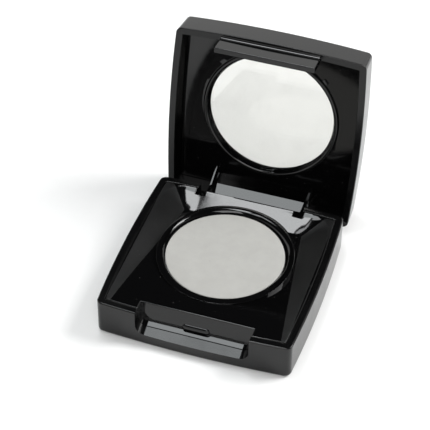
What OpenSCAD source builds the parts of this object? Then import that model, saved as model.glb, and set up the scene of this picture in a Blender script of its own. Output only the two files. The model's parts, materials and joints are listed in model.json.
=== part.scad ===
// Square powder compact: a hinged lid with a clear round window over a single pressed pan.
// The lid is drawn open, resting on its stop. Origin: centre of the base's underside, +Z up, front at -Y.

/* [Case] */
// Width between the corners, before the sides bow out
case_w = 43.1; // [40:0.1:48]
// Depth between the corners, before the sides bow out
case_d = 42.4; // [40:0.1:48]
// How far each side bows out at its middle
side_bow = 0.8; // [0.4:0.05:1.2]
// Radius of the upright corners
corner_r = 1.5; // [1:0.1:3]
// Height of the base
base_h = 8.9; // [8.6:0.1:9.6]
// Thickness of the side walls
wall_t = 1.6; // [1.4:0.1:1.8]
// Thickness of the base's floor
floor_t = 1.2; // [0.8:0.1:1.2]

/* [Lid] */
// Height of the lid from its rim to the edge of its crowned top
lid_edge_h = 7.2; // [7.2:0.1:7.6]
// Extra height of the crowned top at its middle
lid_crown = 0.5; // [0.3:0.1:0.8]
// Radius of the clear opening in the lid
window_r = 14.7; // [13:0.1:15]
// Distance of the window's centre in front of the case's centre
window_shift = 0.55; // [0:0.05:0.8]
// Thickness of the clear window
window_t = 0.9; // [0.7:0.1:0.9]
// Angle through which the lid opens
open_angle = 98.8; // [90:0.2:99.2]

/* [Pan] */
// Outer radius of the metal pan
pan_r = 13.25; // [12:0.05:13.25]
// Height of the metal pan
pan_h = 3.4; // [2.8:0.1:3.4]
// Thickness of the pan's metal
pan_t = 0.3; // [0.2:0.05:0.4]
// Distance of the pan's centre behind the case's centre
pan_y = 1.4; // [1:0.05:1.65]

/* [Latch] */
// Half the width of the finger notch in the front wall
notch_half_w = 12.6; // [12.2:0.1:13]
// Height of the notch's front lip above the underside
notch_z = 2.9; // [2.7:0.1:3]
// Half the width of the lid's latch lip
lip_half_w = 11.3; // [9:0.1:11.4]
// How far the latch lip reaches below the lid's rim
lip_reach = 4.8; // [4:0.1:4.8]

/* [Hinge] */
// Distance of the hinge axis behind the case's centre
hinge_y = 20.15; // [20.1:0.05:20.2]
// Height of the hinge axis above the underside
hinge_z = 3.6; // [3.6:0.05:4]
// Radius of the two hinge pins
pin_r = 0.6; // [0.5:0.05:0.7]
// Radial clearance of a pin in its hinge arm
pin_gap = 0.05; // [0.02:0.01:0.08]

/* [Hidden] */
$fn = 72;
fit = 0.05;            // gap round a piece that drops into another
over = 1;              // how far a cutter runs past the face that it cuts
sheet = 0.01;          // thickness of the slices that a rounded block is hulled from

// outline of the case
half_w = case_w / 2;
half_d = case_d / 2;
bow_rx = (half_d * half_d + side_bow * side_bow) / (2 * side_bow);
bow_ry = (half_w * half_w + side_bow * side_bow) / (2 * side_bow);
bow_cx = half_w + side_bow - bow_rx;
bow_cy = half_d + side_bow - bow_ry;
front_y = -(half_d + side_bow);
rear_y = half_d + side_bow;

// base
base_edge_r = 0.9;     // rounding of the base's lower edge
post = 3.4;            // side of a front corner post
tray_bottom = 6;
tray_top = base_h - 0.05;
well_r = pan_r + 0.15;
collar_r = 14.3;
collar_top = 8.8;
glue_t = 0.2;
pan_z = 5;             // height of the pan's underside
well_floor = pan_z - glue_t;
well_floor_t = 1;
label_w = 26;
label_d = 9;
label_y = -10.5;
label_t = 0.1;
label_gap = 0.02;

// finger notch and its sloping floor
notch_r = 2.2;
notch_back = -17.9;    // face of the wall behind the notch
notch_split = -19.75;  // where the tray's floor meets the shell's
ramp_rise = 1.5;
ramp_slope = ramp_rise / (notch_back - front_y);
bump_len = 6;
bump_h = 1.4;
bump_z = 5;
bump_out = 0.35;

// dish in the deck
dish_x = 19.9;
dish_front = -19;
dish_rear = 18.5;
dish_deep = 1.6;

// hinge
gap_x = 12.3;          // half the width of the opening in the base's rear wall
arm_in = 10.5;
arm_out = 11.9;
knuckle_x = 10.3;
eye_r = 1.7;
pin_in = 8.3;
pin_out = 14;
post_out = 15;

// lid, drawn closed and then opened
rim_z = base_h + 0.15;
rear_rim_z = 9.2;
rear_relief_r = rim_z - hinge_z - 0.13; // the base's rear edge is rounded inside the sweep of the lid's rim
lid_edge_z = rim_z + lid_edge_h;
lid_edge_r = 1.1;
lid_draft = 0.25;
ceiling_z = 14.55;     // the frame's face over the powder
frame_t = 0.75;
seat_z = ceiling_z + frame_t;
bead_out = 15.8;
bead_z = 14.2;
flap_z = 6.2;
inner_rear = 20.15;    // inner face of the lid's flap and the back of its arms
lip_out = -20.9;
lip_t = 1.4;
lip_z = rim_z - lip_reach;

// Centre of the corner arc of radius r on the outline drawn in by i, in the quadrant +X +Y
function corner_centre(i, r) =
    let (a = bow_rx - i - r, b = bow_ry - i - r,
         d = sqrt(bow_cx * bow_cx + bow_cy * bow_cy),
         s = (a * a - b * b + d * d) / (2 * d),
         h = sqrt(a * a - s * s),
         ux = -bow_cx / d, uy = bow_cy / d)
    [bow_cx + s * ux - h * uy, s * uy + h * ux];

// One quadrant of the outline: half a side, the corner, half the next side
function quadrant(i, sides = 5, turns = 5) =
    let (r = max(corner_r - i, 0.5), c = corner_centre(i, r),
         ax = atan2(c[1], c[0] - bow_cx), ay = 90 - atan2(c[0], c[1] - bow_cy))
    concat(
        [for (k = [0:sides - 1]) let (t = ax * k / sides)
            [bow_cx + (bow_rx - i) * cos(t), (bow_rx - i) * sin(t)]],
        [for (k = [0:turns]) let (t = ax + (ay - ax) * k / turns) [c[0] + r * cos(t), c[1] + r * sin(t)]],
        [for (k = [1:sides - 1]) let (t = ay + (90 - ay) * k / sides)
            [(bow_ry - i) * cos(t), bow_cy + (bow_ry - i) * sin(t)]]);

function reversed(list) = [for (k = [len(list) - 1:-1:0]) list[k]];

// The bowed square with rounded corners, drawn in by i all round
module outline(i) {
    q = quadrant(i);
    top = [0, bow_cy + bow_ry - i];
    side = [bow_cx + bow_rx - i, 0];
    rest = [for (k = [1:len(q) - 1]) q[k]];
    polygon(concat(
        [side], rest, [top],
        [for (p = reversed(rest)) [-p[0], p[1]]], [-side],
        [for (p = rest) [-p[0], -p[1]]], [-top],
        [for (p = reversed(rest)) [p[0], -p[1]]]));
}

module slice(z, i) {
    translate([0, 0, z]) linear_extrude(sheet) outline(i);
}

module prism(z0, z1, i) {
    translate([0, 0, z0]) linear_extrude(z1 - z0) outline(i);
}

// A block with its middle on X = 0, from y0 to y1 and z0 to z1
module slab(half_x, y0, y1, z0, z1) {
    translate([-half_x, y0, z0]) cube([2 * half_x, y1 - y0, z1 - z0]);
}

module both_sides() {
    children();
    mirror([1, 0, 0]) children();
}

// A solid between x0 and x1 whose outline in the YZ plane is given by points
module side_profile(x0, x1, points) {
    translate([x0, 0, 0]) rotate([90, 0, 90]) linear_extrude(x1 - x0) polygon(points);
}

module axle(x0, x1, r) {
    translate([x0, hinge_y, hinge_z]) rotate([0, 90, 0]) cylinder(r = r, h = x1 - x0);
}

// Turns the lid from closed to open about the hinge axis
module opened() {
    translate([0, hinge_y, hinge_z]) rotate([-open_angle, 0, 0])
        translate([0, -hinge_y, -hinge_z]) children();
}

function ramp_z(y) = notch_z + ramp_slope * (y - front_y);

// The notch as cut through the front wall: a U whose lower corners are round
module notch_cut(y0, y1) {
    translate([0, y1, 0]) rotate([90, 0, 0]) linear_extrude(y1 - y0) union() {
        translate([-notch_half_w, notch_z + notch_r])
            square([2 * notch_half_w, base_h + over - notch_z - notch_r]);
        translate([-notch_half_w + notch_r, notch_z])
            square([2 * (notch_half_w - notch_r), notch_r + over]);
        both_sides() translate([notch_half_w - notch_r, notch_z + notch_r]) circle(notch_r);
    }
}

// Everything behind the round of the base's rear edge
module rear_relief() {
    difference() {
        slab(half_w + 2, hinge_y, rear_y + over, hinge_z + 3, base_h + over);
        axle(-half_w - 3, half_w + 3, rear_relief_r);
    }
}

module base_body() {
    steps = 4;
    hull() for (k = [0:steps]) let (a = 90 * k / steps)
        slice(base_edge_r * (1 - cos(a)), base_edge_r * (1 - sin(a)));
    prism(base_edge_r, base_h, 0);
}

module base_shell() color([0.07, 0.07, 0.075]) {
    lowest_ledge = notch_z + over;
    difference() {
        union() {
            difference() {
                base_body();
                prism(floor_t, base_h + over, wall_t);
            }
            // front corner posts carry the tray
            both_sides() translate([half_w - wall_t - post, -half_d + wall_t / 2, floor_t - fit])
                cube([post + wall_t / 2, post + wall_t / 2, tray_bottom - floor_t + fit]);
            // rear posts carry the tray and the outer ends of the pins
            both_sides() translate([gap_x, hinge_y - 2.4, floor_t - fit])
                cube([post_out - gap_x, 2.8, tray_bottom - floor_t + fit]);
            // ledge under the notch's front half
            slab(notch_half_w, front_y + wall_t - 0.3, notch_split, floor_t - fit, lowest_ledge);
        }
        notch_cut(front_y - over, notch_split + over);
        // sloping top of the lip under the notch
        side_profile(-notch_half_w + notch_r, notch_half_w - notch_r,
            [[front_y - over, ramp_z(front_y - over)], [notch_split + over, ramp_z(notch_split + over)],
             [notch_split + over, base_h], [front_y - over, base_h]]);
        slab(gap_x, half_d - wall_t - 0.2, rear_y + over, floor_t, base_h + over);
        rear_relief();
        both_sides() axle(gap_x - over, pin_out, pin_r);
        translate([-label_w / 2, label_y - label_d / 2, -over])
            cube([label_w, label_d, over + label_t + label_gap]);
    }
    // knuckle between the lid's two arms
    difference() {
        union() {
            axle(-knuckle_x, knuckle_x, eye_r);
            slab(knuckle_x, hinge_y - eye_r, hinge_y + eye_r, floor_t - fit, hinge_z);
        }
        both_sides() axle(pin_in, knuckle_x + over, pin_r);
    }
}

// The dish: level with the rim at the front and deepest at the rear
module dish_cut() {
    hull() {
        for (s = [-1, 1]) {
            translate([s * dish_x, dish_front, tray_top]) cube(sheet, center = true);
            translate([s * 17.3, dish_rear, tray_top]) cube(sheet, center = true);
            translate([s * 11.5, 15.2, tray_top - dish_deep]) cube(sheet, center = true);
            translate([s * 14.6, 9, tray_top - dish_deep * 0.85]) cube(sheet, center = true);
            translate([s * dish_x, dish_front, tray_top + over]) cube(sheet, center = true);
            translate([s * 17.3, dish_rear, tray_top + over]) cube(sheet, center = true);
        }
    }
}

module catch_bump() {
    span = bump_len / 2 - bump_h / 2;
    both_sides() translate([span, notch_back - bump_out, bump_z]) rotate([-90, 0, 0])
        cylinder(d = bump_h, h = bump_out + 0.2);
    slab(span, notch_back - bump_out, notch_back + 0.2, bump_z - bump_h / 2, bump_z + bump_h / 2);
}

module base_tray() color([0.03, 0.03, 0.035]) {
    shell_gap = wall_t + fit;
    difference() {
        union() {
            difference() {
                union() {
                    prism(tray_bottom, tray_top, shell_gap);
                    // wall behind the notch, with the rear half of the notch's floor
                    slab(notch_half_w + 1, notch_split + fit, notch_back + 1.6, floor_t, tray_top);
                }
                dish_cut();
            }
            translate([0, pan_y, well_floor - well_floor_t])
                cylinder(r = collar_r, h = collar_top - well_floor + well_floor_t);
        }
        translate([0, pan_y, well_floor]) cylinder(r = well_r, h = base_h);
        translate([0, pan_y, 0]) cylinder(r = 1.5, h = base_h);
        // the notch in front of its back wall
        difference() {
            notch_cut(front_y - over, notch_back);
            side_profile(-notch_half_w + notch_r, notch_half_w - notch_r,
                [[front_y, floor_t], [notch_back + over, floor_t],
                 [notch_back + over, ramp_z(notch_back + over)], [front_y, ramp_z(front_y)]]);
        }
        slab(gap_x, dish_rear, rear_y + over, 0, base_h + over);
        rear_relief();
    }
    catch_bump();
}

module powder_pan() color([0.75, 0.76, 0.78]) {
    translate([0, pan_y, pan_z]) difference() {
        cylinder(r = pan_r, h = pan_h);
        translate([0, 0, pan_t]) cylinder(r = pan_r - pan_t, h = pan_h);
    }
}

module pressed_powder() color([0.72, 0.71, 0.68]) {
    powder_r = pan_r - pan_t;
    powder_h = pan_h - pan_t + 0.1;
    chamfer = 0.2;
    translate([0, pan_y, pan_z + pan_t]) rotate_extrude()
        polygon([[0, 0], [powder_r, 0], [powder_r, powder_h - chamfer], [powder_r - chamfer, powder_h],
                 [0, powder_h]]);
}

module pan_adhesive() color([0.85, 0.83, 0.75]) {
    translate([0, pan_y, well_floor]) difference() {
        cylinder(r = 8, h = glue_t);
        translate([0, 0, -over]) cylinder(r = 2.5, h = glue_t + 2 * over);
    }
}

module base_label() color([0.9, 0.9, 0.88]) {
    edge = 0.2;
    slab_y = label_d / 2 - edge;
    translate([0, label_y, 0]) slab(label_w / 2 - edge, -slab_y, slab_y, label_gap, label_gap + label_t);
}

module hinge_pin() {
    axle(pin_in, pin_out, pin_r);
}

module hinge_pin_right() color([0.7, 0.7, 0.72]) {
    hinge_pin();
}

module hinge_pin_left() color([0.7, 0.7, 0.72]) {
    mirror([1, 0, 0]) hinge_pin();
}

// Outer form of the closed lid: drafted sides, a rounded edge and a crowned top
module lid_body() {
    steps = 4;
    crown_steps = 4;
    edge_i = lid_draft + lid_edge_r;
    reach = half_d - edge_i - 4;
    hull() {
        slice(rim_z, 0);
        for (k = [0:steps]) let (a = 90 * k / steps)
            slice(lid_edge_z - lid_edge_r * (1 - sin(a)), lid_draft + lid_edge_r * (1 - cos(a)));
        for (k = [1:crown_steps]) let (t = k / crown_steps)
            slice(lid_edge_z + lid_crown * (1 - (1 - t) * (1 - t)) - sheet, edge_i + reach * t);
    }
}

module lid_shell() color([0.07, 0.07, 0.075]) opened() {
    seat_r = window_r + 0.5;
    difference() {
        union() {
            difference() {
                lid_body();
                prism(rim_z - over, seat_z, wall_t);
                // the rear wall stops short of the base's rounded edge
                slab(half_w + over, hinge_y, rear_y + over, rim_z - over, rear_rim_z);
            }
            // flap that closes the gap in the base's rear wall
            side_profile(-gap_x + 0.25, gap_x - 0.25,
                [[inner_rear, flap_z], [rear_y - 0.15, flap_z], [rear_y - 0.15, rear_rim_z + 0.6],
                 [inner_rear, rear_rim_z + 0.6]]);
        }
        translate([0, -window_shift, 0]) {
            cylinder(r = window_r, h = lid_edge_z + 5);
            translate([0, 0, seat_z - over]) cylinder(r = seat_r, h = over + window_t + fit);
            translate([0, 0, lid_edge_z + 0.1]) cylinder(r1 = window_r, r2 = window_r + 1, h = 1);
        }
        // pocket for the latch lip in the front wall
        slab(lip_half_w + fit, lip_out - fit, 0, rim_z - over, seat_z);
    }
}

module hinge_arm() {
    difference() {
        union() {
            side_profile(arm_in, arm_out,
                [[17.3, ceiling_z + 0.2], [17.5, ceiling_z - 0.6], [18.7, 9.3], [18.7, 5],
                 [hinge_y - eye_r, hinge_z], [hinge_y + eye_r * 0.7, hinge_z + eye_r * 0.7],
                 [inner_rear - fit, flap_z], [inner_rear - fit, ceiling_z + 0.2]]);
            axle(arm_in, arm_out, eye_r);
        }
        axle(arm_in - over, arm_out + over, pin_r + pin_gap);
    }
}

module lid_frame() color([0.03, 0.03, 0.035]) opened() {
    bead_in = window_r + 0.2;
    difference() {
        union() {
            prism(ceiling_z, seat_z, wall_t + fit);
            translate([0, -window_shift, bead_z]) cylinder(r = bead_out, h = seat_z - bead_z);
            // sloping apron along the rear wall
            side_profile(-gap_x + 0.3, gap_x - 0.3,
                [[18.95, 11.5], [19.9, 9.9], [inner_rear - fit, 9.3], [inner_rear - fit, ceiling_z + 0.2],
                 [18.95, ceiling_z + 0.2]]);
            slab(lip_half_w, lip_out, lip_out + lip_t, lip_z, seat_z);
        }
        translate([0, -window_shift, bead_z - over]) cylinder(r = bead_in, h = frame_t + 2 * over);
    }
    both_sides() hinge_arm();
}

module lid_window() color([0.85, 0.9, 0.92, 0.35]) opened() {
    translate([0, -window_shift, seat_z]) cylinder(r = window_r + 0.45, h = window_t);
}

base_shell();
base_tray();
powder_pan();
pressed_powder();
pan_adhesive();
base_label();
hinge_pin_left();
hinge_pin_right();
lid_shell();
lid_frame();
lid_window();
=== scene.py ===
import json
import math

import bmesh
import bpy
from mathutils import Matrix, Vector, noise


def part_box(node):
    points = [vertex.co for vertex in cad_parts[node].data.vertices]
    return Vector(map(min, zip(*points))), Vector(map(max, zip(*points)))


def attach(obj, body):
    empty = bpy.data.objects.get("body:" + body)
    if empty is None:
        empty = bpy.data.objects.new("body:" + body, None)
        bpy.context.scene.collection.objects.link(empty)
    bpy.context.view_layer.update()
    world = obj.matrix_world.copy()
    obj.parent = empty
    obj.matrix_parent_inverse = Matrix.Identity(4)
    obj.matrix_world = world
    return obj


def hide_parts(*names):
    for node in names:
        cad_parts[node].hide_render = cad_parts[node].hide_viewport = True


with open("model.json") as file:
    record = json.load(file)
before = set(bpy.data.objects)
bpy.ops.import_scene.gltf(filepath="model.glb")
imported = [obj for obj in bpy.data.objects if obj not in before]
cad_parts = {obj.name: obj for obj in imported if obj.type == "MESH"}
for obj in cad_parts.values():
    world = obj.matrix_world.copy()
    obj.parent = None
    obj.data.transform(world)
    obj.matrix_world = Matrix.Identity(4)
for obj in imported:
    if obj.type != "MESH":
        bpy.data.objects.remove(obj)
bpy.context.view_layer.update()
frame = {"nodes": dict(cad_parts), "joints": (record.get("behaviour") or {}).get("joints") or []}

# Lengths are in millimetres, in the row frame, until put() makes a mesh of them in metres.
MM = 0.001

# ---- driving dimensions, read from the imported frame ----


def extent(node):
    """The lowest and highest corner of a CAD node's box, in millimetres."""
    low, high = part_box(node)
    return low / MM, high / MM


base_low, base_high = extent("base_shell")
pan_low, pan_high = extent("powder_pan")
powder_low, powder_high = extent("pressed_powder")
label_low, label_high = extent("base_label")
pin_low, pin_high = extent("hinge_pin_right")

HINGE = frame["joints"][0]
HINGE_Y, HINGE_Z = (c / MM for c in HINGE["pos_m"][1:])
OPEN_ANGLE = math.radians(HINGE["range_deg"][1])

HALF_X = base_high.x         # half the width at the middle of the bowed sides
HALF_Y = -base_low.y
BASE_H = base_high.z
BOW = 0.8                    # how far each side bows out
CORNER_R = 1.5
WALL = 1.6
FLOOR_T = 1.2
FIT = 0.05                   # gap round a piece that drops into another
SEAM = 0.18                  # gap where two mouldings show a dark line between them

TRAY_TOP = BASE_H - FIT
TRAY_LOW = 6.0
PAN_Y = (pan_low.y + pan_high.y) / 2
PAN_R = (pan_high.x - pan_low.x) / 2
WELL_R = PAN_R + 0.15
WELL_FLOOR = 4.8
RIM_SUNK = 0.5               # the cake hides this much of the pan's rim
COLLAR_CREST = 15.0          # radius of the collar's highest circle
COLLAR_TOP = TRAY_TOP - 0.01
INNER_TIGHT, INNER_BROAD = 0.12, 1.2     # the collar's roundings: least radius, and what the rear adds
OUTER_TIGHT, OUTER_BROAD = 0.04, 1.5

NOTCH_X = 12.6               # half the width of the finger notch
NOTCH_Z = 2.9                # height of its front lip
NOTCH_R = 2.2
NOTCH_BACK = -17.9
NOTCH_DRAFT = math.tan(math.radians(9))   # lean of the wall behind the notch
NOTCH_SPLIT = -19.75
RAMP = 1.5 / (NOTCH_BACK + HALF_Y)

GAP_X = 12.3                 # half the width of the opening in the base's rear wall
DECK_REAR = 18.6             # the deck's rear edge, beside and behind the lid's arms
TONGUE_X, TONGUE_Y = 10.2, 19.95   # the deck reaches farther back between the lid's arms
DECK_EDGE_R = 0.22           # rounding of the deck's edges at the notch and the hinge opening
DECK_RIM_R = 0.20            # rounding along the shell's walls
DISH_X, DISH_Y = 20.0, 20.45    # the dish's top edge, at the sides and at the rear
DISH_R = 6.0                 # its rear corners
DISH_DEEP = 2.3
DEEP_FRONT, DEEP_REAR = -14.0, 14.4   # the dish's floor falls between these
DISH_FRONT = -19.2           # where the side slopes start
SIDE_SPREAD = 0.155          # how fast the side slopes widen towards the rear
FOLD_FRONT, FOLD_REAR = 18.8, 13.65   # half the width of the dish's floor
HIP_Y, HIP_R = 14.0, 2.5     # where the floor meets the rear slope, and its corners
HIP_SPREAD = 0.77            # slant of the crease from there to the rear corner
OPEN_FRONT = -30.0           # past the deck's front edge: the dish has no slope there
DECK_GRID = 0.33             # spacing of the deck's mesh
BEND_X, BEND_Y = 14, 18.8    # past these, the mesh bends towards the shell's bowed walls

RIM_Z = BASE_H + 0.15        # the closed lid's rim
RELIEF_R = RIM_Z - HINGE_Z - 0.13   # the base's rear edge is rounded about the hinge, clear of that rim
REAR_RIM_Z = 9.2
LID_EDGE_Z = RIM_Z + 7.195
LID_CROWN = 0.305            # how much higher the cover is at the window than at its edges
LID_DRAFT = 0.25
LID_EDGE_R = 1.1
CEILING_Z = 14.55            # the inner panel's face at the window's bead
SEAT_Z = 15.3                # the window's inner face
BOWL = math.tan(math.radians(6))   # the ceiling falls this much from the window to the walls
BEAD_Z, BEAD_R = 14.1, 0.55  # the bead round the window
BEAD_OUT = 15.95
WINDOW_R = 14.7
WINDOW_T = 0.9
WINDOW_Y = -0.55
FLAP_Z = 6.2                 # lower edge of the flap that fills the base's rear opening
INNER_REAR = 20.15
LIP_X = 11.3                 # half the width of the latch lip
LIP_OUT = -20.9
LIP_T = 1.4
LIP_FILLET = 0.6
LIP_Z = RIM_Z - 4.8
ARM_IN, ARM_OUT = 10.5, 11.9 # the hinge arms lie between these, at each side
EYE_R = 1.7                  # radius of the arms' eyes and of the base's knuckle
KNUCKLE_X = 10.3
RIB_T = 0.5                  # a thin rib along each arm's outer face
APRON = [(18.6, 11.4), (20.05, 9.43), (INNER_REAR - FIT, 9.3),   # the wall between the arms
         (INNER_REAR - FIT, CEILING_Z + 0.2), (18.95, CEILING_Z + 0.2)]

SIDE_STEPS = 22              # points along half a bowed side
TURN_STEPS = 8               # points round a corner


# ---- outlines and meshes ----


def quadrant(inset):
    """The outline drawn in by inset, from the middle of the +X side to the middle of the +Y side."""
    half_w, half_d = HALF_X - BOW, HALF_Y - BOW
    big_x = (half_d ** 2 + BOW ** 2) / (2 * BOW)
    big_y = (half_w ** 2 + BOW ** 2) / (2 * BOW)
    centre_x, centre_y = HALF_X - big_x, HALF_Y - big_y
    r = max(CORNER_R - inset, 0.4)
    a, b = big_x - inset - r, big_y - inset - r
    d = math.hypot(centre_x, centre_y)
    s = (a * a - b * b + d * d) / (2 * d)
    h = math.sqrt(a * a - s * s)
    ux, uy = -centre_x / d, centre_y / d
    corner = (centre_x + s * ux - h * uy, s * uy + h * ux)
    turn_0 = math.atan2(corner[1], corner[0] - centre_x)
    turn_1 = math.pi / 2 - math.atan2(corner[0], corner[1] - centre_y)
    points = []
    for k in range(SIDE_STEPS):
        t = turn_0 * k / SIDE_STEPS
        points.append((centre_x + (big_x - inset) * math.cos(t), (big_x - inset) * math.sin(t)))
    for k in range(TURN_STEPS + 1):
        t = turn_0 + (turn_1 - turn_0) * k / TURN_STEPS
        points.append((corner[0] + r * math.cos(t), corner[1] + r * math.sin(t)))
    for k in range(1, SIDE_STEPS + 1):
        t = turn_1 + (math.pi / 2 - turn_1) * k / SIDE_STEPS
        points.append(((big_y - inset) * math.cos(t), centre_y + (big_y - inset) * math.sin(t)))
    return points


def outline(inset):
    """The whole bowed square, drawn in by inset, anticlockwise."""
    q = quadrant(inset)
    return (
        q[:-1]
        + [(-x, y) for x, y in q[:0:-1]]
        + [(-x, -y) for x, y in q[:-1]]
        + [(x, -y) for x, y in q[:0:-1]]
    )


def ring(inset, z):
    """The outline drawn in by inset, at height z."""
    return [(x, y, z) for x, y in outline(inset)]


def circle_ring(radius, z, centre_y):
    """As many points as outline() has, at the same bearings, on a circle."""
    points = []
    for x, y in outline(0):
        a = math.atan2(y - centre_y, x)
        points.append((radius * math.cos(a), centre_y + radius * math.sin(a), z))
    return points


def between(ring_a, ring_b, t, z):
    """A ring at height z that lies the share t of the way from ring_a to ring_b."""
    return [(a[0] + (b[0] - a[0]) * t, a[1] + (b[1] - a[1]) * t, z) for a, b in zip(ring_a, ring_b)]


def loft(rings, closed=False):
    """Quads from ring to ring. An open loft is capped at both ends."""
    count = len(rings[0])
    verts = [p for r in rings for p in r]
    faces = []
    last = len(rings) if closed else len(rings) - 1
    for i in range(last):
        a, b = i * count, (i + 1) % len(rings) * count
        for k in range(count):
            n = (k + 1) % count
            faces.append((a + k, a + n, b + n, b + k))
    if not closed:
        faces.append(tuple(range(count - 1, -1, -1)))
        faces.append(tuple(range((len(rings) - 1) * count, len(rings) * count)))
    return verts, faces


def turned(centre_a, centre_b, radius, degrees):
    """Points on a circle at the given angles; 0 degrees lies along the first axis, 90 along the second."""
    return [(centre_a + radius * math.cos(math.radians(d)), centre_b + radius * math.sin(math.radians(d)))
            for d in degrees]


def arc(centre_i, centre_z, radius, start, end, steps=6):
    """(inset, z) points on a circle; 0 degrees points outwards and 90 up."""
    points = []
    for k in range(steps + 1):
        a = math.radians(start + (end - start) * k / steps)
        points.append((centre_i - radius * math.cos(a), centre_z + radius * math.sin(a)))
    return points


def lathe(profile, centre_y, segments=160, closed=True):
    """A profile of (radius, z) points turned about a vertical axis."""
    rings = []
    for r, z in profile:
        rings.append([
            (r * math.cos(2 * math.pi * k / segments), centre_y + r * math.sin(2 * math.pi * k / segments), z)
            for k in range(segments)
        ])
    return loft(rings, closed)


def prism(points, x0, x1):
    """A solid between x0 and x1 whose outline in the YZ plane is given by points."""
    count = len(points)
    verts = [(x0, y, z) for y, z in points] + [(x1, y, z) for y, z in points]
    faces = [tuple(range(count - 1, -1, -1)), tuple(range(count, 2 * count))]
    faces += [(k, (k + 1) % count, count + (k + 1) % count, count + k) for k in range(count)]
    return verts, faces


def block(half_x, y0, y1, z0, z1):
    """A box, centred on x = 0."""
    return prism([(y0, z0), (y1, z0), (y1, z1), (y0, z1)], -half_x, half_x)


def opened(verts):
    """Turns closed-lid points to where the lid lies open."""
    c, s = math.cos(OPEN_ANGLE), math.sin(OPEN_ANGLE)
    out = []
    for x, y, z in verts:
        dy, dz = y - HINGE_Y, z - HINGE_Z
        out.append((x, HINGE_Y + dy * c + dz * s, HINGE_Z - dy * s + dz * c))
    return out


def solid(verts, faces, bevel=0.0, segments=3, sharp=30.0):
    """A bmesh of one closed solid; bevel rounds every edge sharper than sharp degrees."""
    bm = bmesh.new()
    made = [bm.verts.new(v) for v in verts]
    for f in faces:
        bm.faces.new([made[k] for k in f])
    bmesh.ops.recalc_face_normals(bm, faces=bm.faces)
    if bevel:
        edges = [e for e in bm.edges if len(e.link_faces) == 2 and e.calc_face_angle(0) > math.radians(sharp)]
        bmesh.ops.bevel(bm, geom=edges, offset=bevel, segments=segments, profile=0.5,
                        affect="EDGES", clamp_overlap=True)
    return bm


def joined(*parts):
    """One bmesh that holds all the given solids."""
    out = bmesh.new()
    for bm in parts:
        temp = bpy.data.meshes.new("temp")
        bm.to_mesh(temp)
        bm.free()
        out.from_mesh(temp)
        bpy.data.meshes.remove(temp)
    return out


def linked_object(name, bm):
    """An object in the scene with bm as its mesh; bm is used up."""
    mesh = bpy.data.meshes.new(name)
    bm.to_mesh(mesh)
    bm.free()
    obj = bpy.data.objects.new(name, mesh)
    bpy.context.scene.collection.objects.link(obj)
    return obj


def carve(bm, cutter, operation="DIFFERENCE"):
    """bm cut by, or joined with, cutter."""
    obj, tool = linked_object("temp", bm), linked_object("temp", cutter)
    step = obj.modifiers.new("carve", "BOOLEAN")
    step.object, step.operation, step.solver = tool, operation, "EXACT"
    graph = bpy.context.evaluated_depsgraph_get()
    result = bpy.data.meshes.new_from_object(obj.evaluated_get(graph))
    out = bmesh.new()
    out.from_mesh(result)
    for o in (obj, tool):
        bpy.data.meshes.remove(o.data)
    bpy.data.meshes.remove(result)
    bmesh.ops.remove_doubles(out, verts=out.verts, dist=0.002)
    return out


def put(name, bm, body, nodes, material, smooth_angle=35.0, is_open=False, soft_edge=0.0):
    """Makes the piece in metres, shades it, ties it to its body and hides the CAD nodes it stands for."""
    if is_open:
        for v in bm.verts:
            v.co = opened([v.co])[0]
    bmesh.ops.scale(bm, vec=(MM, MM, MM), verts=bm.verts)
    bmesh.ops.recalc_face_normals(bm, faces=bm.faces)
    piece = linked_object(name, bm)
    for polygon in piece.data.polygons:
        polygon.use_smooth = True
    piece.data.set_sharp_from_angle(angle=math.radians(smooth_angle))
    piece.data.materials.append(material)
    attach(piece, body)
    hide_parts(*nodes)
    if soft_edge:
        edge = piece.modifiers.new("soft_edges", "BEVEL")
        edge.width, edge.segments, edge.limit_method = soft_edge * MM, 3, "ANGLE"
        edge.angle_limit, edge.use_clamp_overlap = math.radians(38), True
    flat = piece.modifiers.new("flat_faces", "WEIGHTED_NORMAL")
    flat.keep_sharp, flat.weight = True, 80
    return piece


# ---- materials ----


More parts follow.
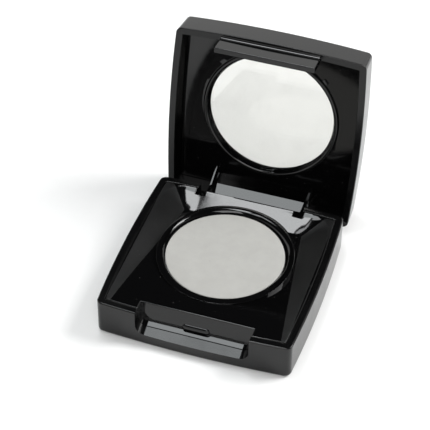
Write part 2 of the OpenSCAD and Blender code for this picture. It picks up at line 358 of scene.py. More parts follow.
class Nodes:
    """A short hand for building one node material."""

    def __init__(self, name):
        self.material = bpy.data.materials.new(name)
        self.material.use_nodes = True
        self.tree = self.material.node_tree
        self.tree.nodes.clear()
        self.output = self.tree.nodes.new("ShaderNodeOutputMaterial")
        self.coords = self.tree.nodes.new("ShaderNodeTexCoord").outputs["Object"]

    def add(self, kind, **values):
        made = self.tree.nodes.new(kind)
        for key, value in values.items():
            if key in made.inputs.keys():
                self.feed(made.inputs[key], value)
            else:
                setattr(made, key, value)
        return made

    def feed(self, socket, value):
        if isinstance(value, bpy.types.NodeSocket):
            self.tree.links.new(value, socket)
        else:
            socket.default_value = value

    def noise(self, size_mm, detail=3.0, roughness=0.55):
        """Cloudy noise from 0 to 1, with lumps of about size_mm."""
        made = self.add("ShaderNodeTexNoise", Scale=1.0 / (size_mm * MM), Detail=detail, Roughness=roughness)
        self.tree.links.new(self.coords, made.inputs["Vector"])
        return made.outputs["Fac"]

    def span(self, fac, low, high, from_low=0.0, from_high=1.0):
        """fac moved from the range from_low..from_high to low..high."""
        made = self.add("ShaderNodeMapRange")
        for key, value in (("Value", fac), ("From Min", from_low), ("From Max", from_high),
                           ("To Min", low), ("To Max", high)):
            self.feed(made.inputs[key], value)
        return made.outputs["Result"]

    def calc(self, operation, *values):
        made = self.add("ShaderNodeMath", operation=operation)
        for socket, value in zip(made.inputs, values):
            self.feed(socket, value)
        return made.outputs[0]

    def colour(self, fac, low, high):
        ramp = self.add("ShaderNodeValToRGB")
        ramp.color_ramp.elements[0].color = (*low, 1)
        ramp.color_ramp.elements[1].color = (*high, 1)
        self.tree.links.new(fac, ramp.inputs["Fac"])
        return ramp.outputs["Color"]

    def bump(self, height, depth_mm, strength=1.0, normal=None):
        made = self.add("ShaderNodeBump", Strength=strength, Distance=depth_mm * MM)
        self.tree.links.new(height, made.inputs["Height"])
        if normal is not None:
            self.tree.links.new(normal, made.inputs["Normal"])
        return made.outputs["Normal"]

    def specks(self, spacing_mm, radius):
        """1 in small round specks, such as dust, and 0 elsewhere."""
        cells = self.add("ShaderNodeTexVoronoi", Scale=1.0 / (spacing_mm * MM), Randomness=1.0)
        self.tree.links.new(self.coords, cells.inputs["Vector"])
        return self.span(cells.outputs["Distance"], 1.0, 0.0, radius * 0.6, radius)

    def surface(self, shader):
        self.tree.links.new(shader, self.output.inputs["Surface"])
        return self.material


def satin_black():
    """Moulded outer plastic: a fine even grain and a soft gloss that varies a little."""
    n = Nodes("satin_black_plastic")
    clouds = n.noise(6.0, 4.0)
    grain = n.noise(0.09, 2.0)
    colour = n.colour(clouds, (0.0014, 0.0014, 0.0015), (0.0026, 0.0026, 0.0027))
    normal = n.bump(grain, 0.004, 0.35)
    shader = n.add("ShaderNodeBsdfPrincipled", **{"Base Color": colour, "IOR": 1.41, "Normal": normal})
    n.feed(shader.inputs["Roughness"], n.span(clouds, 0.12, 0.20, 0.3, 0.7))
    return n.surface(shader.outputs["BSDF"])


def gloss_black(name, satin_sides=False):
    """Polished inner plastic: nearly a mirror, with a trace of moulding waviness and dust.

    With satin_sides, the two side slopes of the deck are satin instead.
    """
    n = Nodes(name)
    waves = n.noise(7.0, 2.0)
    smear = n.noise(2.4, 5.0, 0.65)
    dust = n.specks(1.9, 0.055)
    colour = n.colour(dust, (0.0016, 0.0016, 0.0017), (0.06, 0.058, 0.055))
    normal = n.bump(waves, 0.012, 0.5)
    shader = n.add("ShaderNodeBsdfPrincipled", **{"Base Color": colour, "IOR": 1.46, "Normal": normal})
    polish = n.span(smear, 0.045, 0.10, 0.3, 0.75)
    if satin_sides:
        place = n.add("ShaderNodeSeparateXYZ")
        n.tree.links.new(n.coords, place.inputs[0])
        across = n.calc("ABSOLUTE", place.outputs["X"])
        front_fold = n.calc("MULTIPLY_ADD", place.outputs["Y"], -SIDE_SPREAD,
                            (FOLD_FRONT + DISH_FRONT * SIDE_SPREAD) * MM)
        hip = n.calc("MULTIPLY_ADD", place.outputs["Y"], HIP_SPREAD, (FOLD_REAR - HIP_SPREAD * HIP_Y) * MM)
        past_fold = n.calc("SUBTRACT", across, n.calc("MAXIMUM", front_fold, hip))
        satin = n.calc("MULTIPLY", n.span(past_fold, 0.0, 1.0, -0.1 * MM, 0.15 * MM),
                       n.span(across, 1.0, 0.0, DISH_X * MM, (DISH_X + 0.1) * MM))
        polish = n.span(satin, polish, n.span(smear, 0.34, 0.40, 0.3, 0.75))
    n.feed(shader.inputs["Roughness"], polish)
    return n.surface(shader.outputs["BSDF"])


def pressed_powder():
    """Pale grey powder: fine grain, faint mottling and a few darker grains."""
    n = Nodes("pressed_powder")
    mottle = n.noise(3.5, 5.0, 0.6)
    grain = n.noise(0.22, 4.0, 0.7)
    flecks = n.specks(1.2, 0.10)
    tone = n.span(mottle, 0.0, 1.0, 0.35, 0.65)
    base = n.colour(tone, (0.377, 0.373, 0.354), (0.401, 0.396, 0.377))
    mix = n.add("ShaderNodeMixRGB", blend_type="MULTIPLY", Fac=0.25, Color1=base)
    n.feed(mix.inputs["Color2"], n.colour(grain, (0.6, 0.6, 0.59), (1.0, 1.0, 1.0)))
    dark = n.add("ShaderNodeMixRGB", blend_type="MULTIPLY", Color1=mix.outputs["Color"],
                 Color2=(0.86, 0.86, 0.85, 1))
    n.feed(dark.inputs["Fac"], flecks)
    normal = n.bump(grain, 0.05, 0.55)
    shader = n.add("ShaderNodeBsdfPrincipled",
                   **{"Base Color": dark.outputs["Color"], "IOR": 1.35, "Normal": normal})
    n.feed(shader.inputs["Roughness"], n.span(grain, 0.85, 1.0))
    return n.surface(shader.outputs["BSDF"])


def pan_metal():
    """Stamped aluminium with fine uneven streaks."""
    n = Nodes("pan_aluminium")
    streaks = n.noise(0.5, 6.0)
    normal = n.bump(streaks, 0.006, 0.5)
    colour = n.colour(streaks, (0.50, 0.51, 0.52), (0.64, 0.65, 0.66))
    shader = n.add("ShaderNodeBsdfPrincipled",
                   **{"Base Color": colour, "Metallic": 1.0, "Normal": normal})
    n.feed(shader.inputs["Roughness"], n.span(streaks, 0.24, 0.42))
    return n.surface(shader.outputs["BSDF"])


def pin_steel():
    """Drawn wire: fine lines along the pin."""
    n = Nodes("pin_steel")
    mapping = n.add("ShaderNodeMapping", Scale=(0.1, 1.0, 1.0))
    n.tree.links.new(n.coords, mapping.inputs["Vector"])
    n.coords = mapping.outputs["Vector"]
    lines = n.noise(0.08, 3.0)
    colour = n.colour(lines, (0.48, 0.48, 0.50), (0.66, 0.66, 0.68))
    shader = n.add("ShaderNodeBsdfPrincipled",
                   **{"Base Color": colour, "Metallic": 1.0, "Normal": n.bump(lines, 0.005, 0.5)})
    n.feed(shader.inputs["Roughness"], n.span(lines, 0.22, 0.38))
    return n.surface(shader.outputs["BSDF"])


def label_paper():
    """A blank matt paper label."""
    n = Nodes("label_paper")
    fibres = n.noise(0.35, 6.0, 0.7)
    colour = n.colour(fibres, (0.78, 0.78, 0.75), (0.87, 0.87, 0.85))
    shader = n.add("ShaderNodeBsdfPrincipled",
                   **{"Base Color": colour, "Normal": n.bump(fibres, 0.02, 0.4)})
    n.feed(shader.inputs["Roughness"], n.span(fibres, 0.7, 0.9))
    return n.surface(shader.outputs["BSDF"])


def dried_glue():
    """Pale glue with soft lumps."""
    n = Nodes("dried_glue")
    lumps = n.noise(1.2, 3.0)
    colour = n.colour(lumps, (0.72, 0.68, 0.56), (0.84, 0.81, 0.70))
    shader = n.add("ShaderNodeBsdfPrincipled",
                   **{"Base Color": colour, "Normal": n.bump(lumps, 0.08, 0.5)})
    n.feed(shader.inputs["Roughness"], n.span(lumps, 0.45, 0.65))
    return n.surface(shader.outputs["BSDF"])


def clear_plastic():
    """A clear polished window that mirrors more at a slant, with faint smudges and specks of dust."""
    n = Nodes("clear_plastic")
    smudge = n.span(n.noise(5.0, 4.0), 0.0, 0.035, 0.45, 0.8)
    dust = n.span(n.specks(3.1, 0.035), 0.0, 0.5)
    clear = n.add("ShaderNodeBsdfTransparent", Color=(0.875, 0.875, 0.86, 1))
    haze = n.add("ShaderNodeBsdfDiffuse", Color=(0.62, 0.62, 0.6, 1))
    seen = n.add("ShaderNodeMixShader", Fac=n.calc("MAXIMUM", smudge, dust))
    n.tree.links.new(clear.outputs[0], seen.inputs[1])
    n.tree.links.new(haze.outputs[0], seen.inputs[2])
    gloss = n.add("ShaderNodeBsdfGlossy", Roughness=0.02, Color=(1, 1, 1, 1))
    whole = n.add("ShaderNodeMixShader", Fac=n.add("ShaderNodeFresnel", IOR=1.49).outputs[0])
    n.tree.links.new(seen.outputs[0], whole.inputs[1])
    n.tree.links.new(gloss.outputs[0], whole.inputs[2])
    return n.surface(whole.outputs[0])


SATIN, GLOSS = satin_black(), gloss_black("gloss_black_plastic")
TRAY_GLOSS = gloss_black("gloss_black_plastic_with_satin_sides", satin_sides=True)
POWDER, METAL, STEEL = pressed_powder(), pan_metal(), pin_steel()
PAPER, GLUE, CLEAR = label_paper(), dried_glue(), clear_plastic()


# ---- base ----


def ramp_z(y):
    """Height of the finger notch's floor."""
    return NOTCH_Z + RAMP * (y + HALF_Y)


def notch_cutter(y0, y1):
    """The finger notch: a trough with round lower corners and a floor that slopes down to the front."""
    def section(y, lean=0.0):
        floor = ramp_z(y - lean * (BASE_H - ramp_z(y)))
        points = [(NOTCH_X, y, BASE_H + 2)]
        for k in range(9):
            a = math.radians(90 * k / 8)
            points.append((NOTCH_X - NOTCH_R + NOTCH_R * math.cos(a), y,
                           floor + NOTCH_R - NOTCH_R * math.sin(a)))
        points += [(-x, y, z) for x, y, z in reversed(points)]
        return [(x, y - lean * (BASE_H - z), z) for x, y, z in points]
    return solid(*loft([section(y0), section(y1, NOTCH_DRAFT)]))


def under_hinge_sweep(bm):
    """Rounds the rear edge about the hinge axis, so that the lid's rim can pass it."""
    for v in bm.verts:
        dy = v.co.y - HINGE_Y
        if dy > 0 and v.co.z > HINGE_Z + 3:
            v.co.z = min(v.co.z, HINGE_Z + math.sqrt(RELIEF_R ** 2 - dy ** 2))


def base_case():
    """The outer shell with its notch, rear opening, label recess, knuckle and posts."""
    lower_r, rim_r = 0.9, 0.3
    profile = arc(lower_r, lower_r, lower_r, -90, 0, 8)
    profile += arc(rim_r, BASE_H - rim_r, rim_r, 0, 90, 5)
    profile += [(rim_r + (WALL - 0.12 - rim_r) * k / 8, BASE_H) for k in range(1, 8)]
    profile += arc(WALL - 0.12, BASE_H - 0.12, 0.12, 90, 180, 3)
    profile += [(WALL, FLOOR_T)]
    bm = solid(*loft([ring(i, z) for i, z in profile]))
    under_hinge_sweep(bm)
    ledge = solid(*block(NOTCH_X + 0.8, -HALF_Y + WALL - 0.4, NOTCH_SPLIT - SEAM / 2, FLOOR_T - 0.3, 8.0))
    bm = carve(bm, ledge, "UNION")
    bm = carve(bm, notch_cutter(-HALF_Y - 1, NOTCH_SPLIT + 1))
    bm = carve(bm, solid(*block(GAP_X, HALF_Y - BOW - WALL - 0.2, HALF_Y + 1, FLOOR_T, BASE_H + 1)))
    label_space = block(label_high.x + 0.2, label_low.y - 0.2, label_high.y + 0.2, -1, label_high.z)
    bm = carve(bm, solid(*label_space))
    eye = turned(HINGE_Y, HINGE_Z, EYE_R, range(0, 181, 10))
    knuckle = prism(eye + [(HINGE_Y - EYE_R, FLOOR_T - 0.05), (HINGE_Y + EYE_R, FLOOR_T - 0.05)],
                    -KNUCKLE_X, KNUCKLE_X)
    parts = [bm, solid(*knuckle, bevel=0.12)]
    front, rear, foot, top = HINGE_Y - 2.4, HINGE_Y + 0.4, FLOOR_T - 0.05, TRAY_LOW - 0.05
    for side in (-1, 1):
        x0, x1 = sorted((side * (GAP_X + 0.02), side * 15.0))
        post = prism([(front, foot), (rear, foot), (rear, top), (front, top)], x0, x1)
        parts.append(solid(*post, bevel=0.1))
    return put("base_case", joined(*parts), "base", ["base_shell"], SATIN, soft_edge=0.11)


def clamp(value):
    return min(max(value, 0.0), 1.0)


def rounded_box_distance(x, y, half, y0, y1, radius_front, radius_rear):
    """Signed distance from a rounded rectangle |x| < half, y0 < y < y1; negative inside."""
    cy, hy = (y0 + y1) / 2, (y1 - y0) / 2
    r = radius_rear if y > cy else radius_front
    qx, qy = abs(x) - half + r, abs(y - cy) - hy + r
    return min(max(qx, qy), 0) + math.hypot(max(qx, 0), max(qy, 0)) - r


def smooth_min(a, b, k):
    """The lesser of a and b, blended where they are within k of each other."""
    h = max(k - abs(a - b), 0) / k
    return min(a, b) - h * h * k / 4


def dish_height(x, y):
    """Height of the deck: level at its border, a ramp from the front, slopes at the sides and the rear."""
    fold = FOLD_FRONT - (min(max(y, DISH_FRONT), HIP_Y) - DISH_FRONT) * SIDE_SPREAD
    outer = -rounded_box_distance(x, y, DISH_X, OPEN_FRONT, DISH_Y, 1.0, DISH_R)
    inner = max(rounded_box_distance(x, y, fold, OPEN_FRONT, HIP_Y, 1.0, HIP_R), 0.0)
    share = outer / (outer + inner) if outer > 0 else 0.0
    share = -smooth_min(-smooth_min(share, 1.0, 0.16), 0.0, 0.05)
    depth = smooth_min((y - DEEP_FRONT) / (DEEP_REAR - DEEP_FRONT), 1.0, 0.08)
    depth = -smooth_min(-depth, 0.0, 0.25)
    return TRAY_TOP - DISH_DEEP * depth * share


def rounding(d, radius):
    """How far a rounded edge falls at the distance d from the side."""
    return radius - math.sqrt(radius ** 2 - (radius - d) ** 2) if d < radius else 0.0


def grid_lines(low, high, step, stops, edge_steps):
    """Evenly spaced values from low to high, with fine ones just past each (place, direction) in stops."""
    lines = {low, high}
    count = round((high - low) / step)
    lines.update(low + (high - low) * k / count for k in range(count + 1))
    for place, direction in stops:
        near = [place + direction * e for e in edge_steps]
        lines = {v for v in lines if all(abs(v - n) > 0.12 for n in near)}
        lines.update(near)
    return sorted(lines)


def deck_plate():
    """The tray's deck as one closed solid: a fine grid, less the finger notch and the hinge opening."""
    half_x, half_y = HALF_X - WALL - FIT, HALF_Y - WALL - FIT
    steps = [0.0, 0.02, 0.05, 0.09, 0.15, DECK_EDGE_R]
    x_stops = [(-half_x, 1), (half_x, -1), (-NOTCH_X, -1), (NOTCH_X, 1), (-TONGUE_X, 1), (TONGUE_X, -1)]
    y_stops = [(-half_y, 1), (half_y, -1), (NOTCH_BACK, 1), (DECK_REAR, -1), (TONGUE_Y, -1)]
    xs = grid_lines(-half_x, half_x, DECK_GRID, x_stops, steps)
    ys = grid_lines(-half_y, half_y, DECK_GRID, y_stops, steps)

    def in_solid(x, y):
        in_notch = abs(x) < NOTCH_X and y < NOTCH_BACK
        in_gap = abs(x) < NOTCH_X and y > (TONGUE_Y if abs(x) < TONGUE_X else DECK_REAR)
        return not (in_notch or in_gap)

    def top_z(x, y):
        z = dish_height(x, y)
        outer = min(half_x - abs(x), half_y - abs(y))
        side = max(abs(x) - NOTCH_X, 0)
        notch = math.hypot(side, max(y - NOTCH_BACK, 0))
        gap = math.hypot(side, max(DECK_REAR - y, 0)) if abs(x) > TONGUE_X else TONGUE_Y - y
        z -= max(rounding(outer, DECK_RIM_R), rounding(notch, DECK_EDGE_R), rounding(gap, DECK_EDGE_R))
        dy = y - HINGE_Y
        if dy > 0:
            z = min(z, HINGE_Z + math.sqrt(RELIEF_R ** 2 - dy ** 2) - FIT)
        return z

    def bowed(x, y):
        """Moves a point of the straight grid so that the deck's edges follow the shell's bowed walls."""
        wide = clamp((abs(x) - BEND_X) / (half_x - BEND_X))
        deep = clamp((abs(y) - BEND_Y) / (half_y - BEND_Y))
        return (x - math.copysign(BOW * (y / half_y) ** 2 * wide, x),
                y - math.copysign(BOW * (x / half_x) ** 2 * deep, y))

    bm = bmesh.new()
    top, low = {}, {}

    def corner(i, j, store, upper):
        if (i, j) not in store:
            x, y = xs[i], ys[j]
            bx, by = bowed(x, y)
            if not upper and abs(x) <= NOTCH_X and abs(y - NOTCH_BACK) < 0.3:
                by -= NOTCH_DRAFT * (BASE_H - TRAY_LOW)
            store[i, j] = bm.verts.new((bx, by, top_z(x, y) if upper else TRAY_LOW))
        return store[i, j]

    cells = {(i, j) for i in range(len(xs) - 1) for j in range(len(ys) - 1)
             if in_solid((xs[i] + xs[i + 1]) / 2, (ys[j] + ys[j + 1]) / 2)}
    for i, j in cells:
        square = [(i, j), (i + 1, j), (i + 1, j + 1), (i, j + 1)]
        bm.faces.new([corner(a, b, top, True) for a, b in square])
        bm.faces.new([corner(a, b, low, False) for a, b in reversed(square)])
        for k, step in enumerate(((0, -1), (1, 0), (0, 1), (-1, 0))):
            if (i + step[0], j + step[1]) not in cells:
                p, q = square[k], square[(k + 1) % 4]
                bm.faces.new([corner(*q, top, True), corner(*p, top, True),
                              corner(*p, low, False), corner(*q, low, False)])
    return bm


def catch_bump():
    """A pill-shaped bump on the wall behind the notch."""
    half, height, out, z_mid = 2.3, 0.72, 0.5, 5.0
    rings = []
    for k in range(7):
        a = math.radians(90 * k / 6)
        r, depth = height * math.cos(a) + 0.02, out * math.sin(a)
        section = []
        for s in range(48):
            t = 2 * math.pi * s / 48
            middle = half if math.cos(t) >= 0 else -half
            section.append((middle + r * math.cos(t), NOTCH_BACK - depth, z_mid + r * math.sin(t)))
        rings.append(section)
    rings.insert(0, [(x, NOTCH_BACK + 0.3, z) for x, y, z in rings[0]])
    leaning = [[(x, y - NOTCH_DRAFT * (BASE_H - z), z) for x, y, z in r] for r in rings]
    return solid(*loft(leaning))


def collar():
    """The ring round the pan, with broad round shoulders at the rear, where the deck is low."""
    segments, inner_steps, outer_steps, turn = 200, 12, 20, 66
    foot_z, inside = TRAY_LOW - 0.2, WELL_R + 0.02
    rings = [[] for _ in range(inner_steps + outer_steps + 3)]
    for k in range(segments):
        bearing = 2 * math.pi * k / segments
        inner, outer = clamp(0.42 + math.sin(bearing)), clamp(0.1 + math.sin(bearing))
        inner_r = INNER_TIGHT + INNER_BROAD * inner
        outer_r = OUTER_TIGHT + OUTER_BROAD * outer ** 2
        crest = min(inside + 0.06 + 0.82 * inner_r + 0.5 * inner, COLLAR_CREST)
        rise = [(crest - inner_r * math.cos(a), COLLAR_TOP - inner_r * (1 - math.sin(a)))
                for a in (math.radians(35 + 5 * j) for j in range(inner_steps))]
        fall = [(COLLAR_CREST + 0.01 + outer_r * math.sin(a), COLLAR_TOP - outer_r * (1 - math.cos(a)))
                for a in (math.radians(turn * j / (outer_steps - 1)) for j in range(outer_steps))]
        line = [(inside, foot_z), (inside, rise[0][1] - 0.1)] + rise + fall + [(fall[-1][0] + 0.15, foot_z)]
        for ring_points, (r, z) in zip(rings, line):
            ring_points.append((r * math.cos(bearing), PAN_Y + r * math.sin(bearing), z))
    return solid(*loft(rings, closed=True))


def tray():
    """The deck, the notch's liner with the catch bump, the pan's well and the collar."""
    deck = deck_plate()
    deck = carve(deck, solid(*lathe([(COLLAR_CREST, 0), (COLLAR_CREST, 12)], PAN_Y, closed=False)))
    liner = solid(*block(NOTCH_X + 1, NOTCH_SPLIT + SEAM / 2, NOTCH_BACK + WALL, FLOOR_T + FIT, TRAY_LOW))
    liner = carve(liner, notch_cutter(-HALF_Y - 1, NOTCH_BACK))
    cup_r, hole_r, top_z = COLLAR_CREST - 0.4, 1.5, TRAY_LOW + 0.1
    wall = [(WELL_R, WELL_FLOOR), (WELL_R, top_z), (cup_r, top_z),
            (cup_r, WELL_FLOOR - 1), (hole_r, WELL_FLOOR - 1), (hole_r, WELL_FLOOR)]
    cup = solid(*lathe(wall, PAN_Y, 200))
    whole = joined(deck, liner, catch_bump(), cup, collar())
    return put("tray", whole, "base", ["base_tray"], TRAY_GLOSS)


def pan():
    """A shallow stamped cup."""
    wall, rim_r, foot_r = 0.3, 0.15, 0.5
    low, high = pan_low.z, pan_high.z - RIM_SUNK
    out = turned(PAN_R - foot_r, low + foot_r, foot_r, range(-90, 1, 15))
    rim = turned(PAN_R - rim_r, high - rim_r, rim_r, range(0, 181, 20))
    inside = [(PAN_R - wall, low + wall + 0.3), (PAN_R - wall - 0.3, low + wall)]
    bm = solid(*lathe([(0.05, low)] + out + rim + inside + [(0.05, low + wall)], PAN_Y, 200, closed=False))
    return put("pan", bm, "base", ["powder_pan"], METAL)


def powder():
    """A pressed cake: a nearly flat top with a fine uneven grain and a soft broken edge."""
    radius = (powder_high.x - powder_low.x) / 2 - 0.01
    low, high = powder_low.z + 0.01, powder_high.z
    brim, brim_z, edge_r, circles = radius + 0.18, pan_high.z - RIM_SUNK + 0.02, 0.16, 70
    profile = [(0.05, low), (radius - 0.3, low), (radius, low + 0.3), (radius, brim_z), (brim, brim_z)]
    profile += turned(brim - edge_r, high - edge_r, edge_r, range(0, 91, 18))
    profile += [(brim - 0.2 - (brim - 0.25) * k / circles, high) for k in range(1, circles + 1)]
    bm = solid(*lathe(profile, PAN_Y, 220, closed=False))
    fine, broad = 0.006, 0.012   # heights of the grain and of the slow waves
    for v in bm.verts:
        if v.co.z > high - edge_r - 0.01:
            v.co.z += noise.noise(v.co * 2.6) * fine + noise.noise(v.co * 0.5) * broad - (fine + broad)
    return put("powder", bm, "base", ["pressed_powder"], POWDER, smooth_angle=60)


def label():
    """A thin blank sticker with round corners."""
    width, depth = label_high.x, (label_high.y - label_low.y) / 2
    y_mid, corner = (label_high.y + label_low.y) / 2, 1.0
    path = []
    for cx, cy, start in ((1, 1, 0), (-1, 1, 90), (-1, -1, 180), (1, -1, 270)):
        for k in range(7):
            a = math.radians(start + 15 * k)
            path.append((cx * (width - corner) + corner * math.cos(a),
                         y_mid + cy * (depth - corner) + corner * math.sin(a)))
    rings = [[(x, y, z) for x, y in path] for z in (label_low.z, label_high.z)]
    bm = solid(*loft(rings), bevel=0.02, segments=2)
    return put("underside_label", bm, "base", ["base_label"], PAPER)


def hinge_pin(name, side):
    """A steel wire pin with chamfered ends; side is 1 for +X and -1 for -X."""
    radius, chamfer = pin_high.z - HINGE_Z, 0.12
    stations = [(pin_low.x, radius - chamfer), (pin_low.x + chamfer, radius),
                (pin_high.x - chamfer, radius), (pin_high.x, radius - chamfer)]
    rings = [[(side * x, y, z) for y, z in turned(HINGE_Y, HINGE_Z, r, range(0, 360, 10))]
             for x, r in stations]
    return put(name.replace("hinge_", "") + "_wire", solid(*loft(rings)), "base", [name], STEEL)


# ---- lid, built closed and turned open ----


def lid_case():
    """The outer cover, bowed like the base, with the round opening, the window's seat and the rear flap."""
    hole = circle_ring(WINDOW_R + 0.3, 0, WINDOW_Y)
    edge_i = LID_DRAFT + LID_EDGE_R
    profile = arc(WALL - 0.15, RIM_Z + 0.15, 0.15, 180, 270, 3)[0:4]
    profile += arc(0.2, RIM_Z + 0.2, 0.2, 270, 360, 4)
    profile += arc(edge_i, LID_EDGE_Z - LID_EDGE_R, LID_EDGE_R, 0, 90, 10)
    rings = [ring(i, z) for i, z in profile]
    edge_ring = ring(edge_i, LID_EDGE_Z)
    steps = 14
    for k in range(1, steps + 1):
        t = k / steps
        rings.append(between(edge_ring, hole, t, LID_EDGE_Z + LID_CROWN * (1 - (1 - t) ** 2)))
    brow = LID_EDGE_Z + LID_CROWN
    # a rounded brow, down into the window's opening
    for r, z in ((0.22, -0.02), (0.13, -0.07), (0.05, -0.15), (0.0, -0.26)):
        rings.append(circle_ring(WINDOW_R + r, brow + z, WINDOW_Y))
    rings.append(circle_ring(WINDOW_R + 0.5, SEAT_Z + WINDOW_T + FIT, WINDOW_Y))
    rings.append(circle_ring(WINDOW_R + 0.5, SEAT_Z + 0.01, WINDOW_Y))
    rings.append(ring(WALL, SEAT_Z + 0.01))
    bm = solid(*loft(rings, closed=True))
    for v in bm.verts:
        if v.co.y > HINGE_Y:
            v.co.z = max(v.co.z, REAR_RIM_Z)
    pocket = solid(*block(LIP_X + FIT, LIP_OUT - FIT, -18, RIM_Z - 1, SEAT_Z - 0.2))
    bm = carve(bm, pocket)
    flap = solid(*prism([(INNER_REAR, FLAP_Z), (HALF_Y - 0.15, FLAP_Z), (HALF_Y - 0.15, REAR_RIM_Z + 0.6),
                         (INNER_REAR, REAR_RIM_Z + 0.6)], -GAP_X + 0.25, GAP_X - 0.25), bevel=0.15)
    return put("lid_case", joined(bm, flap), "lid", ["lid_shell"], SATIN, is_open=True)


def lid_liner():
    """The inner panel with the window's bead, the latch lip, the apron, the arms and their ribs."""
    inset = WALL + FIT
    edge, outer = ring(inset + 0.15, 0), circle_ring(BEAD_OUT + 0.1, 0, WINDOW_Y)

    def domed(points, lift=0.0):
        return [(x, y, CEILING_Z + 0.12 + lift - BOWL * (math.hypot(x, y - WINDOW_Y) - BEAD_OUT))
                for x, y, z in points]

    plate = [ring(inset, SEAT_Z), domed(ring(inset, 0), 0.15), domed(ring(inset + 0.05, 0), 0.04)]
    plate.append(domed(edge))
    plate += [domed(between(edge, outer, k / 8, 0)) for k in range(1, 9)]
    for k in range(19):
        a = math.radians(10 * k)
        plate.append(circle_ring(BEAD_OUT - BEAD_R + BEAD_R * math.cos(a),
                                 BEAD_Z + BEAD_R - BEAD_R * math.sin(a), WINDOW_Y))
    plate.append(circle_ring(BEAD_OUT - 2 * BEAD_R - 0.3, SEAT_Z, WINDOW_Y))
    parts = [solid(*loft(plate, closed=True))]
    parts.append(solid(*block(LIP_X, LIP_OUT, LIP_OUT + LIP_T, LIP_Z, SEAT_Z - 0.02), bevel=0.22))
    fillet = turned(LIP_OUT - LIP_FILLET, RIM_Z - LIP_FILLET, LIP_FILLET, range(0, 91, 10))
    fillet += [(LIP_OUT - LIP_FILLET, RIM_Z + 0.1), (LIP_OUT + 0.3, RIM_Z + 0.1),
               (LIP_OUT + 0.3, RIM_Z - LIP_FILLET)]
    parts.append(solid(*prism(fillet, -LIP_X + 0.1, LIP_X - 0.1)))
    parts.append(solid(*prism(APRON, -GAP_X + 0.3, GAP_X - 0.3), bevel=0.1))
    arm = [(17.3, CEILING_Z + 0.2), (17.5, CEILING_Z - 0.6), (18.7, 9.3), (18.7, 5.0)]
    arm += turned(HINGE_Y, HINGE_Z, EYE_R, range(175, 406, 11))
    arm += [(INNER_REAR - FIT, FLAP_Z), (INNER_REAR - FIT, CEILING_Z + 0.2)]
    rib = [(19.2, 8.95), (15.8, 14.4), (16.0, CEILING_Z + 0.2), (19.2, CEILING_Z + 0.2)]
    for side in (-1, 1):
        x0, x1 = sorted((side * ARM_IN, side * ARM_OUT))
        parts.append(solid(*prism(arm, x0, x1), bevel=0.3))
        x0, x1 = sorted((side * (ARM_OUT - RIB_T), side * (ARM_OUT - 0.02)))
        parts.append(solid(*prism(rib, x0, x1), bevel=0.08))
    return put("lid_liner", joined(*parts), "lid", ["lid_frame"], GLOSS, is_open=True)


def window():
    """A clear disc with chamfered edges."""
    radius, edge = WINDOW_R + 0.45, 0.12
    low, high = SEAT_Z + 0.005, SEAT_Z + WINDOW_T
    profile = [(0.05, low), (radius - edge, low), (radius, low + edge), (radius, high - edge),
               (radius - edge, high), (0.05, high)]
    bm = solid(*lathe(profile, WINDOW_Y, 200, closed=False))
    return put("window", bm, "lid", ["lid_window"], CLEAR, is_open=True)


# ---- studio ----


def floor():
    """A plain pale table top."""
    half, z = 6000.0, -0.02
    bm = bmesh.new()
    bm.faces.new([bm.verts.new((x * half * MM, y * half * MM, z * MM))
                  for x, y in ((-1, -1), (1, -1), (1, 1), (-1, 1))])
    obj = linked_object("studio_floor", bm)
    n = Nodes("studio_floor")
    fibres = n.noise(2.0, 3.0)
    colour = n.colour(fibres, (0.86, 0.86, 0.855), (0.88, 0.88, 0.875))
    shader = n.add("ShaderNodeBsdfPrincipled", **{"Base Color": colour, "Roughness": 0.9,
                                                  "Specular IOR Level": 0.1})
    obj.data.materials.append(n.surface(shader.outputs["BSDF"]))


def softbox(name, place, target, width, depth, power, colour=(1, 1, 1)):
    """A rectangular soft light at place, facing target; both are in millimetres."""
    data = bpy.data.lights.new(name, "AREA")
    data.shape, data.size, data.size_y = "RECTANGLE", width * MM, depth * MM
    data.energy, data.color = power, colour
    lamp = bpy.data.objects.new(name, data)
    lamp.location = Vector(place) * MM
    back = (Vector(place) - Vector(target)).normalized()
    side = Vector((0, 1, 0)).cross(back).normalized()
    lamp.rotation_mode = "QUATERNION"
    lamp.rotation_quaternion = Matrix((side, back.cross(side), back)).transposed().to_quaternion()
    bpy.context.scene.collection.objects.link(lamp)


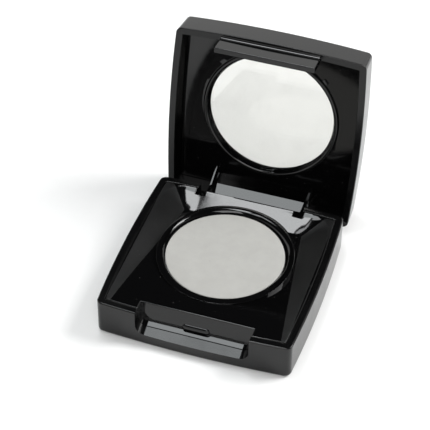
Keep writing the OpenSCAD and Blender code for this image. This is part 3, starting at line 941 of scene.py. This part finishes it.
def studio_world():
    """A white surround near the table that fades, from 22 to 33 degrees up, to a dim ceiling."""
    world = bpy.data.worlds.new("studio")
    world.use_nodes = True
    tree = world.node_tree
    tree.nodes.clear()
    coords = tree.nodes.new("ShaderNodeTexCoord")
    split = tree.nodes.new("ShaderNodeSeparateXYZ")
    ramp = tree.nodes.new("ShaderNodeValToRGB")
    back = tree.nodes.new("ShaderNodeBackground")
    out = tree.nodes.new("ShaderNodeOutputWorld")
    stops = ramp.color_ramp.elements
    stops[0].position, stops[0].color = 0.38, (1.0, 1.0, 0.99, 1)
    stops[1].position, stops[1].color = 0.54, (0.02, 0.02, 0.022, 1)
    tree.links.new(coords.outputs["Generated"], split.inputs[0])
    tree.links.new(split.outputs["Z"], ramp.inputs["Fac"])
    tree.links.new(ramp.outputs["Color"], back.inputs["Color"])
    back.inputs["Strength"].default_value = 1.1
    tree.links.new(back.outputs[0], out.inputs["Surface"])
    bpy.context.scene.world = world


def camera():
    """Looks down at the open compact from the front and a little from the right."""
    azimuth, elevation, roll = math.radians(17.6), math.radians(43.14), math.radians(0.77)
    aim, distance = Vector((-3.92, 6.06, 15.27)), 374.3
    back = Vector((math.sin(azimuth) * math.cos(elevation), -math.cos(azimuth) * math.cos(elevation),
                   math.sin(elevation)))
    data = bpy.data.cameras.new("camera")
    data.lens, data.sensor_width = 143.6, 36.0
    data.clip_start, data.clip_end = 0.01, 20.0
    cam = bpy.data.objects.new("camera", data)
    cam.location = (aim + back * distance) * MM
    cam.rotation_mode = "QUATERNION"
    cam.rotation_quaternion = (-back).to_track_quat("-Z", "Y") @ Matrix.Rotation(roll, 3, "Z").to_quaternion()
    bpy.context.scene.collection.objects.link(cam)
    bpy.context.scene.camera = cam


camera()
base_case()
tray()
pan()
powder()
label()
hinge_pin("hinge_pin_right", 1)
hinge_pin("hinge_pin_left", -1)
lid_case()
lid_liner()
window()
glue = frame["nodes"]["pan_adhesive"]
glue.data.materials.clear()
glue.data.materials.append(GLUE)

floor()
studio_world()
# The three overhead lights shine in the gloss of the deck's rear and the notch, the back card in the lid's
# front wall; the key casts the shadow to the left, and the fill softens it.
softbox("overhead_near", (-100, -8, 400), (-100, -8, 0), 120, 100, 0.26, (0.94, 0.985, 1.0))
softbox("overhead_far", (-70, 100, 400), (-70, 100, 0), 62, 116, 0.29, (0.97, 0.99, 1.0))
softbox("overhead_side", (-160, 100, 400), (-160, 100, 0), 80, 116, 0.19, (0.97, 0.99, 1.0))
softbox("back_card", (190, 368, 460), (0, 0, 0), 420, 300, 0.30)
softbox("key", (350, 190, 400), (0, 0, 10), 250, 250, 2.5)
softbox("fill", (60, -330, 430), (0, 0, 0), 300, 300, 1.2)
bpy.context.scene.view_settings.view_transform = "Standard"
